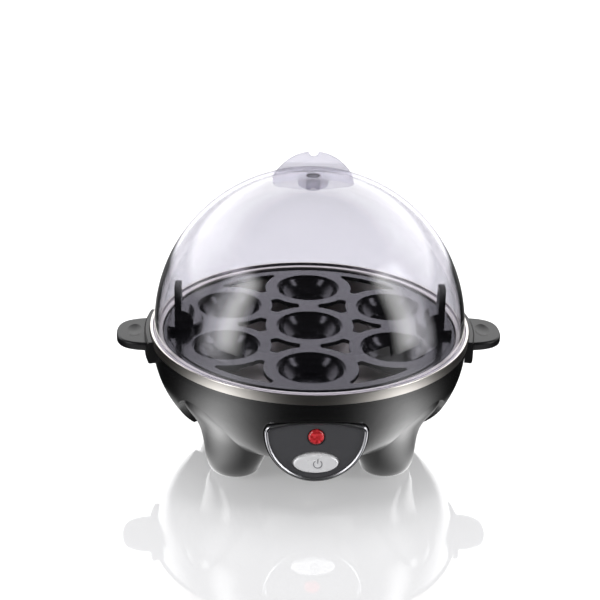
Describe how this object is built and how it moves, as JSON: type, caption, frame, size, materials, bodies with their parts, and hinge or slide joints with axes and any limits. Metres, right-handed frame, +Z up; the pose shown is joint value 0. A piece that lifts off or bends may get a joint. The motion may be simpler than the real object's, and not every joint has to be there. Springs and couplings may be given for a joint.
{
  "type": "electric egg cooker",
  "caption": "Electric egg cooker with a black base on swept legs, steel rim, lift-out egg tray and a clear dome lid.",
  "frame": {"origin": "on the worktop under the centre of the heating dish", "axes": "+Z up, the control panel looks towards -Y and the side handles lie along X"},
  "size_m": [0.2248, 0.186, 0.1805],
  "materials": {
    "black_plastic": "gloss moulded",
    "brushed_steel": "brushed round the rim",
    "satin_dish": "satin",
    "grey_silicone": "matte",
    "zinc_steel": "zinc plated",
    "silver_bezel": "plated",
    "panel_grey": "satin",
    "red_lens": "clear tinted",
    "white_nylon": "satin",
    "silver_button": "satin silver",
    "spring_steel": "drawn wire",
    "black_nylon": "satin",
    "aluminium": "rolled",
    "element_sheath": "oxidised sheath",
    "ceramic": "unglazed",
    "tinned_steel": "tinned",
    "foot_rubber": "matte",
    "gloss_black": "gloss moulded",
    "clear_plastic": "clear moulded plastic"
  },
  "bodies": {
    "base": {"base_housing": "black_plastic", "steel_rim": "brushed_steel", "heating_dish": "satin_dish", "dish_seal": "grey_silicone", "side_handle_left": "black_plastic", "side_handle_right": "black_plastic", "handle_screws": "zinc_steel", "panel_bezel": "silver_bezel", "panel_face": "panel_grey", "indicator_lens": "red_lens", "lamp_holder": "white_nylon", "button_spring": "spring_steel", "switch_body": "black_nylon", "heat_spreader": "aluminium", "heating_element": "element_sheath", "thermostat": "ceramic", "thermostat_bracket": "zinc_steel", "heater_studs": "zinc_steel", "heater_nuts": "zinc_steel", "thermal_fuse": "tinned_steel", "fuse_clip": "zinc_steel", "buzzer": "black_nylon", "terminal_block": "white_nylon", "bottom_cover": "black_plastic", "cover_screws": "zinc_steel", "rubber_feet": "foot_rubber", "cord_bush": "foot_rubber"},
    "button": {"power_button": "silver_button"},
    "tray": {"egg_tray": "gloss_black"},
    "lid": {"lid_dome": "clear_plastic", "lid_handle": "clear_plastic", "handle_retainer": "clear_plastic"}
  },
  "joints": [
    {"name": "tray_lift", "type": "slide", "parent": "base", "child": "tray", "axis": [0, 0, 1], "range_m": [0, 0.12]},
    {"name": "lid_lift", "type": "slide", "parent": "tray", "child": "lid", "axis": [0, 0, 1], "range_m": [0, 0.15]},
    {"name": "power_button_press", "type": "slide", "parent": "base", "child": "button", "axis": [0, 0.9962, -0.0872], "range_m": [0, 0.002], "stiffness_N_per_m": 400, "deforming": ["button_spring"]}
  ]
}
